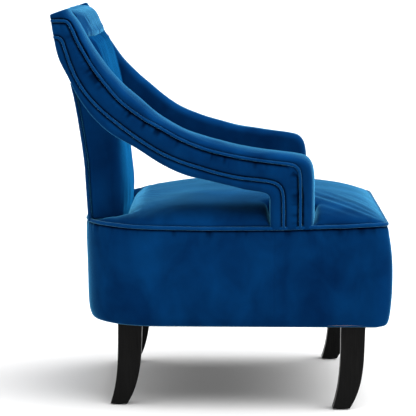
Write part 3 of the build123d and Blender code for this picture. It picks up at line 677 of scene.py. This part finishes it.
def build_base_band():
    """The velvet band round the base, folded under below and turned in under the seat's piping."""
    plan = plan_line(1040)
    normal = outward(plan)
    toward_front = np.clip(-normal[:, 1], 0, 1) ** 2
    toward_rear = step_up(normal[:, 1], 0.15, 0.95)
    sideways = np.clip(1 - toward_front - toward_rear, 0, 1)
    height = through_values(BAND_HEIGHTS, BAND_ROWS)
    front, side, rear = (through_values(s, BAND_ROWS) for s in (BAND_FRONT, BAND_SIDE, BAND_REAR))
    run = np.r_[0, np.cumsum(np.linalg.norm(np.diff(plan, axis=0), axis=1))]
    folds = wave(run / 0.016, 21) * 0.75 + wave(run / 0.007, 22) * 0.35
    sway = wave(run / 0.11, 23)
    seam = seam_height(plan)
    full = BAND_HEIGHTS[0] * MM
    grid = np.zeros((BAND_ROWS, len(plan), 3))
    painted_shade = np.zeros((BAND_ROWS, len(plan)))
    near_side_seam = bell(plan[:, 1] - SIDE_SEAM_Y, 0.0022) * (np.abs(normal[:, 0]) > 0.9)
    for i in range(BAND_ROWS):
        share = height[i] * MM / full
        below = (1 - share) * full
        offset = front[i] * toward_front + side[i] * sideways + rear[i] * toward_rear
        offset = offset + folds * bell(below - 0.010, 0.013) * FOLD_HEIGHT
        offset = offset + sway * bell(below - 0.05, 0.05) * SWAY_HEIGHT
        offset = offset - GROOVE_DEPTH * bell(below - GROOVE_BELOW, GROOVE_WIDTH)
        offset = offset - SIDE_SEAM_DEPTH * near_side_seam * step_up(share, 0.06, 0.2)
        # Painted shade in the groove below the top seam and in the hollows of the folds.
        painted_shade[i] = bell(below - 0.0058, 0.0036) + np.clip(-folds, 0, 1) * bell(below - 0.012, 0.008) * 0.8
        grid[i, :, :2] = plan + normal * (offset * MM)[:, None]
        grid[i, :, 2] = BASE_LOW[2] + (seam - BASE_LOW[2] + 0.001) * share
    grid[:, :, :2] += (cloud(grid, 0.16, 31) * 0.0011)[..., None] * normal[None]
    under = []
    for inset, drop in UNDER_RINGS:
        ring = grid[-1].copy()
        ring[:, :2] -= normal * inset
        ring[:, 2] = BASE_LOW[2] - drop + 0.001
        under.append(ring)
    inside = []
    for inset, rise in INSIDE_RINGS:
        ring = grid[0].copy()
        ring[:, :2] -= normal * inset
        ring[:, 2] += rise
        inside.append(ring)
    grid = np.concatenate([np.array(inside), grid, np.array(under)])
    band = grid_piece("base_band", grid, VELVET, around=True)
    # The rings turned in under the seat's piping carry full painted shade.
    mark_painted_shade(band, np.concatenate([np.ones((len(inside), len(plan))), painted_shade]))
    add_piece(band, "velvet", "base_cover", "base_padding", fill=0.95)


def build_seat_piping():
    plan = plan_line(900)
    inset = np.interp(outward(plan)[:, 1], PIPING_FACING, PIPING_INSET)
    line = np.concatenate([plan - outward(plan) * inset[:, None], seam_height(plan)[:, None]], axis=1)
    line[:, 2] += 0.0004 * wave(np.arange(len(line)) / 14.0, 40)
    piping = tube("seat_piping", line, SEAT_PIPING_RADIUS, PIPING_PAINTED_HIGHLIGHT, closed=True)
    add_piece(piping, "velvet_piping", "seat_welt")


# ---- cloth -----------------------------------------------------------------
def set_points(piece, points):
    piece.data.vertices.foreach_set("co", np.ascontiguousarray(points, np.float32).ravel())
    piece.data.update()


def get_points(piece):
    points = np.zeros(len(piece.data.vertices) * 3, np.float32)
    piece.data.vertices.foreach_get("co", points)
    return points.reshape(-1, 3).astype(float)


def apply_modifiers(piece):
    """Makes the piece's shape what its modifiers show, and clears them."""
    graph = bpy.context.evaluated_depsgraph_get()
    graph.update()
    mesh = bpy.data.meshes.new_from_object(piece.evaluated_get(graph))
    piece.modifiers.clear()
    piece.data = mesh
    mesh.shade_smooth()


def soften(piece, iterations):
    """Evens out the surface's small steps."""
    smooth = piece.modifiers.new("smooth", "SMOOTH")
    smooth.iterations = iterations
    apply_modifiers(piece)


CLOTH_PRESSURE = 4.0
CLOTH_FRAMES = 20


def swell(piece, pinned, cap):
    """Stuffs a closed form by cloth simulation, with its seams pinned and every point's travel capped."""
    start = get_points(piece)
    group = piece.vertex_groups.new(name="pinned")
    weights = np.round(np.clip(pinned(start), 0, 1), 1)
    for level in np.unique(weights):
        members = np.nonzero(weights == level)[0]
        group.add([int(i) for i in members], float(level), "REPLACE")
    cloth = piece.modifiers.new("cloth", "CLOTH")
    cloth.settings.vertex_group_mass = "pinned"
    cloth.settings.use_pressure = True
    cloth.settings.uniform_pressure_force = CLOTH_PRESSURE
    cloth.settings.effector_weights.gravity = 0
    cloth.settings.tension_stiffness = 20
    cloth.settings.compression_stiffness = 20
    cloth.settings.shear_stiffness = 8
    cloth.settings.bending_stiffness = 2
    cloth.collision_settings.use_collision = False
    for frame_number in range(1, CLOTH_FRAMES + 1):
        bpy.context.scene.frame_set(frame_number)
    apply_modifiers(piece)
    bpy.context.scene.frame_set(1)
    travel = get_points(piece) - start
    length = np.linalg.norm(travel, axis=1)
    keep = cap * np.tanh(length / cap) / np.maximum(length, 1e-9)
    set_points(piece, start + travel * keep[:, None])
    piece.vertex_groups.clear()


# ---- seat ------------------------------------------------------------------
POST_Y = (ARM_REAR_Y - 567 * MM, ARM_REAR_Y - 469.5 * MM)
BACK_FOOT_HALF = 0.235
BACK_FOOT_FRONT = BACK_LOW[1] + 0.004
SEAT_INSET = 0.006
SEAT_VOXEL = 0.0055
SEAT_SMOOTHING = 14
SEAT_SWELL = 0.009
# The crown along the middle: Y, and the height over the piped seam, in millimetres.
SEAT_SIDE_VIEW = (
    (-357, 1), (-351, 7), (-343, 18), (-331, 29), (-316, 37.5), (-278, 47), (-216, 52), (-60, 54), (54, 52),
    (80, 50.5), (127, 45), (174, 36), (202, 30), (240, 22), (282, 12), (299, 2),
)


def seat_height(x, y):
    """The seat's height over the floor, crowned both ways."""
    side_view = through(SEAT_SIDE_VIEW, 300) * MM
    plan = plan_line(1600)
    near = plan[plan[:, 0] > 0]
    near = near[np.argsort(near[:, 1])]
    half = np.interp(y, near[:, 1], near[:, 0]) - 0.004
    share = np.clip(np.abs(x) / half, 0, 1)
    crown = np.interp(y, side_view[:, 0], side_view[:, 1], left=0, right=0)
    return WELT_Z + crown * (1 - share ** 4.2) ** 0.5


def seat_form():
    """The seat's closed form in even cells: crowned above, flat below the piped seam."""
    plan = plan_line(360)
    inner = plan - outward(plan) * SEAT_INSET
    edge = seam_height(inner) - WELT_Z
    middle = np.array((0.0, (BASE_LOW[1] + BASE_HIGH[1]) / 2))
    rings = []
    for turn in np.linspace(0.02, 1, 110):
        share = math.sin(turn * math.pi / 2)
        ring = middle + (inner - middle) * share
        z = seat_height(ring[:, 0], ring[:, 1])
        rings.append(np.concatenate([ring, (z + edge * share ** 6)[:, None]], axis=1))
    rim = rings[-1]
    for depth in (0.006, 0.012):
        rings.append(rim - np.array((0, 0, depth)))
    rim = rings[-1]
    for share in (0.75, 0.5, 0.25, 0.05):
        ring = rim.copy()
        ring[:, :2] = middle + (rim[:, :2] - middle) * share
        rings.append(ring)
    seat = grid_piece("seat_cushion", np.array(rings), VELVET, around=True, close_ends=True)
    remesh = seat.modifiers.new("remesh", "REMESH")
    remesh.mode = "VOXEL"
    remesh.voxel_size = SEAT_VOXEL
    soften(seat, SEAT_SMOOTHING)
    points = get_points(seat)
    on_top = step_up(points[:, 2], WELT_Z + 0.012, WELT_Z + 0.030)
    points[:, 2] += on_top * (seat_height(points[:, 0], points[:, 1]) - points[:, 2])
    set_points(seat, points)
    return seat


def seat_pinned(points):
    return step_up(0.022 - (points[:, 2] - WELT_Z), 0.0, 0.016)


def build_seat():
    """The seat cushion, sunk round the arm posts and the back's foot, and gathered toward the back."""
    seat = seat_form()
    swell(seat, seat_pinned, SEAT_SWELL)
    soften(seat, SEAT_SMOOTHING)
    points = get_points(seat)
    x, y, z = points.T
    over = step_up(z, WELT_Z + 0.004, WELT_Z + 0.02)
    post_x = np.clip(ARM_LOW[0] - np.abs(x), 0, None)
    post_front, post_rear = POST_Y
    post_y = np.maximum(np.clip(post_front - y, 0, None), np.clip(y - post_rear, 0, None))
    to_post = np.hypot(post_x, post_y)
    to_back = np.hypot(np.clip(np.abs(x) - BACK_FOOT_HALF, 0, None), np.clip(BACK_FOOT_FRONT - y, 0, None))
    for gap, reach, sink in ((to_post, 0.010, 0.007), (to_back, 0.020, 0.015)):
        z -= over * sink * bell(gap, reach)
        z -= step_up(0.004 - gap, 0.0, 0.006) * (z - WELT_Z) * 0.96
    angle = np.arctan2(x, BACK_FOOT_FRONT - y)
    gathers = wave(angle * 26, 51) * bell(to_back - 0.028, 0.030)
    z += over * gathers * 0.0014
    z += over * cloud(points, 0.11, 54) * 0.0016
    set_points(seat, np.stack([x, y, z], axis=1))
    add_subdivision(seat)
    add_piece(seat, "velvet", "seat_cover", "seat_foam", fill=0.85)


# ---- back ------------------------------------------------------------------
# Side views: places behind the foremost point of the back's CAD form, and heights above its foot, in
# millimetres. The roll's heights are above its own lowest point, and widths are half widths by height.
BACK_FRONT = (
    (3, 0), (4, 20), (6, 40), (13, 119), (17, 160), (21, 200), (29, 277), (37, 315), (42, 340),
    (47, 361), (53, 375), (60, 386), (70, 396),
)
BACK_REAR = ((88, 0), (92, 65), (96, 130), (105, 196), (117, 268), (139, 359), (148, 397), (159, 444))
BACK_WIDTHS = ((0, 235), (284, 252), (300, 253.4), (470, 253.4))
ROLL_SIDE = (
    (108, 1), (92, 0), (81, 1.5), (78, 6), (79, 13), (82, 22), (88, 36), (95, 49), (103, 57.5), (113, 62.5),
    (124, 64), (136, 62.5), (147, 57), (153, 50), (149, 42), (145, 30), (140, 14), (136, 3), (124, 1),
)
EDGE_PIPING_TOP = 300
EDGE_PIPING_RADIUS = 0.0029
# The inner back, in millimetres: how far it curves back toward its sides, the rounding of its corners, and
# the further turn beside the arms, past the posts.
BACK_BOW = 9
BACK_CORNER_ACROSS, BACK_CORNER_DEEP = 24, 24
PAST_POST, PAST_POST_DEEP = 26, 12
BACK_REAR_RADIUS = 8
BACK_TO_PANEL = 9
BACK_SWELL = 0.007
# The roll, in millimetres: it stands forward in the middle and draws back and down toward its ends.
ROLL_DRAWN_BACK = 21
ROLL_FORWARD = 6.5
ROLL_DROP = 5.5
ROLL_SWELL = 0.004
PANEL_THICK = 8.0
PANEL_CORNER = 5


def back_width(height):
    """Half the back's width in millimetres."""
    heights, widths = zip(*BACK_WIDTHS)
    return np.interp(height, heights, widths)


def back_rear(height):
    """How far behind the rear face lies, in millimetres."""
    places, heights = zip(*BACK_REAR)
    return np.interp(height, heights, places)


def across_back(half):
    """Places across the back, closer together toward its sides."""
    turn = np.linspace(-1, 1, 141)
    return half * (turn - 0.13 * turn ** 9) / 0.87


def back_place(behind, height):
    """Y and Z in metres."""
    return BACK_LOW[1] + behind * MM, BACK_LOW[2] + height * MM


def inner_back_ring(height, near):
    """The inner back's outline at one height: bowed front, round corners, flat sides and flat rear."""
    half = back_width(height)
    far = back_rear(height) - BACK_TO_PANEL
    beside_arm = step_up(height, 240, 340)
    x = across_back(half)
    corner = np.clip((np.abs(x) - (half - BACK_CORNER_ACROSS)) / BACK_CORNER_ACROSS, 0, 1)
    past_post = np.clip((np.abs(x) - (half - PAST_POST)) / PAST_POST, 0, 1)
    corner_deep = BACK_CORNER_DEEP - PAST_POST_DEEP * beside_arm
    face = near + BACK_BOW * (np.abs(x) / half) ** 3 + corner_deep * (1 - np.sqrt(1 - corner ** 2))
    face = face + PAST_POST_DEEP * beside_arm * past_post ** 1.5
    turn = np.linspace(0, math.pi / 2, 7)[1:]
    flat, end = half - BACK_REAR_RADIUS, far - BACK_REAR_RADIUS
    right = [(half, v) for v in np.linspace(face[-1], end, 14)[1:]]
    right += [(flat + BACK_REAR_RADIUS * math.cos(t), end + BACK_REAR_RADIUS * math.sin(t)) for t in turn]
    rear = [(v, far) for v in np.linspace(flat, -flat, 60)[1:]]
    left = [(-a, b) for a, b in right[::-1]][1:]
    loop = np.array(list(zip(x, face)) + right + rear + left)
    y, z = back_place(loop[:, 1], height)
    return np.stack([loop[:, 0] * MM, y, np.full(len(y), z)], axis=1)


def inner_back_pinned(points):
    """Pinned at the rear, along the foot and at the seam under the roll."""
    height = (points[:, 2] - BACK_LOW[2]) / MM
    far = back_rear(height)
    behind = (points[:, 1] - BACK_LOW[1]) / MM
    rear = step_up(behind, far - 60, far - 25)
    foot = step_up(25 - height, 0, 20)
    seam = step_up(height, 380, 394)
    return np.maximum(np.maximum(rear, foot), seam)


def build_inner_back():
    """The inner back pad: its foot reaches into the seat, and its top in under the roll."""
    front = through([(height, behind) for behind, height in BACK_FRONT], 90)
    rings = [inner_back_ring(height, near) for height, near in front]
    rings.insert(0, rings[0] - np.array((0, 0, 0.007)))
    middle = rings[-1].mean(axis=0)
    rings.append(middle + (rings[-1] - middle) * np.array((0.99, 0.9, 1)) + np.array((0, 0, 0.009)))
    back = grid_piece("inner_back_pad", np.array(rings), VELVET_SHADED_COPY, around=True, close_ends=True)
    swell(back, inner_back_pinned, BACK_SWELL)
    soften(back, 4)
    points = get_points(back)
    x, y, z = points.T
    height = (z - BACK_LOW[2]) / MM
    forward = step_up((BACK_LOW[1] + 0.10) - y, 0, 0.04)
    gathers = wave(x / 0.013, 61) + 0.7 * wave(x / 0.028, 62)
    y += forward * gathers * 0.0010 * bell(height - 392, 9)
    y += forward * wave(x / 0.060, 63) * 0.0010 * bell(height - 355, 30)
    y += forward * wave(x / 0.040, 64) * 0.0007 * bell(height - 40, 26)
    y += forward * cloud(points, 0.09, 65) * 0.0016
    edge = np.abs(x) - back_width(height) * MM
    x += np.sign(x) * step_up(edge, -0.006, 0) * cloud(points * (1, 1, 0.5), 0.05, 66) * 0.0009
    set_points(back, np.stack([x, y, z], axis=1))
    add_subdivision(back)
    add_piece(back, "velvet", "inner_back_cover", "inner_back_foam", fill=0.85)


def top_roll_pinned(points):
    """Pinned at the seam under the roll and at the rear."""
    low = step_up(ROLL_LOW[2] + 0.016 - points[:, 2], 0, 0.012)
    rear = step_up(points[:, 1], BACK_LOW[1] + 0.128, BACK_LOW[1] + 0.140)
    return np.maximum(low, rear)


def build_top_roll():
    """The roll along the top of the back, gathered along the seam under it."""
    loop = even(through(ROLL_SIDE + ROLL_SIDE[:1], 240), 121)[:-1]
    half = back_width(440)
    forward = np.clip((loop[:, 0].mean() + 22 - loop[:, 0]) / 50, 0, 1)
    rings = []
    for x in across_back(half):
        toward_end = (abs(x) / half) ** 4
        behind = loop[:, 0] + (ROLL_DRAWN_BACK * toward_end - ROLL_FORWARD) * forward
        height = loop[:, 1] - ROLL_DROP * toward_end * np.clip(loop[:, 1] / 60, 0, 1)
        y, z = back_place(behind, height + (ROLL_LOW[2] - BACK_LOW[2]) / MM)
        rings.append(np.stack([np.full(len(y), x * MM), y, z], axis=1))
    roll = grid_piece("top_roll", np.array(rings), VELVET, around=True, close_ends=True)
    swell(roll, top_roll_pinned, ROLL_SWELL)
    soften(roll, 3)
    points = get_points(roll)
    x, y, z = points.T
    up = z - ROLL_LOW[2]
    forward = step_up((BACK_LOW[1] + 0.10) - y, 0, 0.02)
    gathers = 0.45 * wave(x / 0.016, 71) + 0.5 * wave(x / 0.034, 72)
    y += forward * gathers * 0.0021 * bell(up - 0.010, 0.014)
    y += forward * wave(x / 0.060, 73) * 0.0008 * bell(up - 0.030, 0.020)
    z += cloud(points, 0.08, 74) * 0.0009
    set_points(roll, np.stack([x, y, z], axis=1))
    add_subdivision(roll)
    add_piece(roll, "velvet", "top_roll_cover", "top_roll_foam", fill=0.9)


def build_outer_back():
    """The rear panel: nearly flat, slightly rippled, and folded over at the top."""
    rear = through([(height, behind) for behind, height in BACK_REAR], 110)
    rings = []
    for height, behind in rear:
        half = back_width(height) - 0.5
        top = np.clip((height - 432) / 12, 0, 1)
        x = half * np.sin(np.linspace(-math.pi / 2, math.pi / 2, 91))
        corner = np.clip((np.abs(x) - (half - PANEL_CORNER)) / PANEL_CORNER, 0, 1)
        face = behind - PANEL_CORNER * (1 - np.sqrt(1 - corner ** 2))
        face = face - 1.5 * (x / half) ** 2 - 2.5 * top ** 2
        ripples = wave(x / 46.0, 81) * 0.5 + wave(np.full(91, height / 60.0) + x / 300.0, 82) * 0.7
        face = face + ripples * (1 - corner)
        inner = np.full(60, behind - PANEL_THICK * (1 - 0.45 * top))
        loop = np.array(list(zip(x, face)) + list(zip(np.linspace(half, -half, 60), inner)))
        y, z = back_place(loop[:, 1], height)
        rings.append(np.stack([loop[:, 0] * MM, y, np.full(len(y), z)], axis=1))
    panel = grid_piece("outer_back_panel", np.array(rings), VELVET, around=True, close_ends=True)
    add_piece(panel, "velvet", "outer_back_cover", "outer_back_wadding", fill=0.9)
    for name, side in (("left", 1), ("right", -1)):
        heights = np.linspace(-3, EDGE_PIPING_TOP, 200)
        y, z = back_place(np.interp(heights, rear[:, 0], rear[:, 1]) - 3.0, heights)
        x = side * (back_width(heights) + 0.3) * MM
        line = np.stack([x, y, z], axis=1)
        piping = tube("back_edge_piping_" + name, line, EDGE_PIPING_RADIUS, PIPING_PAINTED_HIGHLIGHT)
        add_piece(piping, "velvet_piping", "back_edge_welt_" + name)


# ---- stage, lights and camera ----------------------------------------------
FLOOR_HALF = 75.0
WORLD_DOME = 0.30
# Name, direction, angular width in degrees, and strength.
SUNS = (
    ("key", (0.05, 0.55, -1.0), 80.0, 6.6),
    ("rear_fill", (0.10, -0.8, -1.0), 90.0, 1.6),
)
CAMERA_PLACE = (-5.0, -0.0249, 0.980)
CAMERA_TOWARD = (1.0, 0.01197, -0.1151)
CAMERA_LENS = 189.5


def build_stage():
    corners = [[(x, y, 0.0) for x in (-FLOOR_HALF, FLOOR_HALF)] for y in (-FLOOR_HALF, FLOOR_HALF)]
    material, nodes, links, shader = new_material("pale_floor")
    coords = nodes.new("ShaderNodeTexCoord").outputs["Object"]
    tone = noise_node(nodes, links, coords, 1.3, 3.0)
    links.new(ramp(nodes, links, tone, ((0.3, grey(0.62)), (0.7, grey(0.64)))), shader.inputs["Base Color"])
    shader.inputs["Roughness"].default_value = 0.85
    shader.inputs["Specular IOR Level"].default_value = 0.1
    grid_piece("studio_floor", np.array(corners), material)


def soft_sun(name, toward, angle, strength):
    """A very broad, soft light that falls evenly on the whole floor."""
    data = bpy.data.lights.new(name, "SUN")
    data.energy = strength
    data.angle = math.radians(angle)
    light = bpy.data.objects.new(name, data)
    light.rotation_mode = "QUATERNION"
    light.rotation_quaternion = Vector(toward).to_track_quat("-Z", "Y")
    bpy.context.scene.collection.objects.link(light)


def build_lights():
    """A white studio: brighter at the horizon than overhead, with broad suns from the front and the rear."""
    world = bpy.data.worlds.new("studio")
    bpy.context.scene.world = world
    world.use_nodes = True
    nodes, links = world.node_tree.nodes, world.node_tree.links
    coords = nodes.new("ShaderNodeTexCoord").outputs["Generated"]
    split = nodes.new("ShaderNodeSeparateXYZ")
    links.new(coords, split.inputs["Vector"])
    shade = ramp(nodes, links, split.outputs["Z"], ((0.22, WHITE), (0.42, grey(WORLD_DOME))))
    links.new(shade, nodes["Background"].inputs["Color"])
    nodes["Background"].inputs["Strength"].default_value = 1.0
    for sun in SUNS:
        soft_sun(*sun)


def build_camera():
    data = bpy.data.cameras.new("camera")
    data.sensor_width = 36.0
    data.lens = CAMERA_LENS
    data.clip_end = 400.0
    camera = bpy.data.objects.new("camera", data)
    camera.location = CAMERA_PLACE
    camera.rotation_mode = "QUATERNION"
    camera.rotation_quaternion = Vector(CAMERA_TOWARD).to_track_quat("-Z", "Y")
    bpy.context.scene.collection.objects.link(camera)
    bpy.context.scene.camera = camera


# ---- the chair -------------------------------------------------------------
dress_cad_nodes()
build_base_band()
build_seat_piping()
build_seat()
build_arm("left", 1)
build_arm("right", -1)
build_inner_back()
build_top_roll()
build_outer_back()
build_stage()
build_lights()
build_camera()
bpy.context.scene.view_settings.view_transform = "Standard"
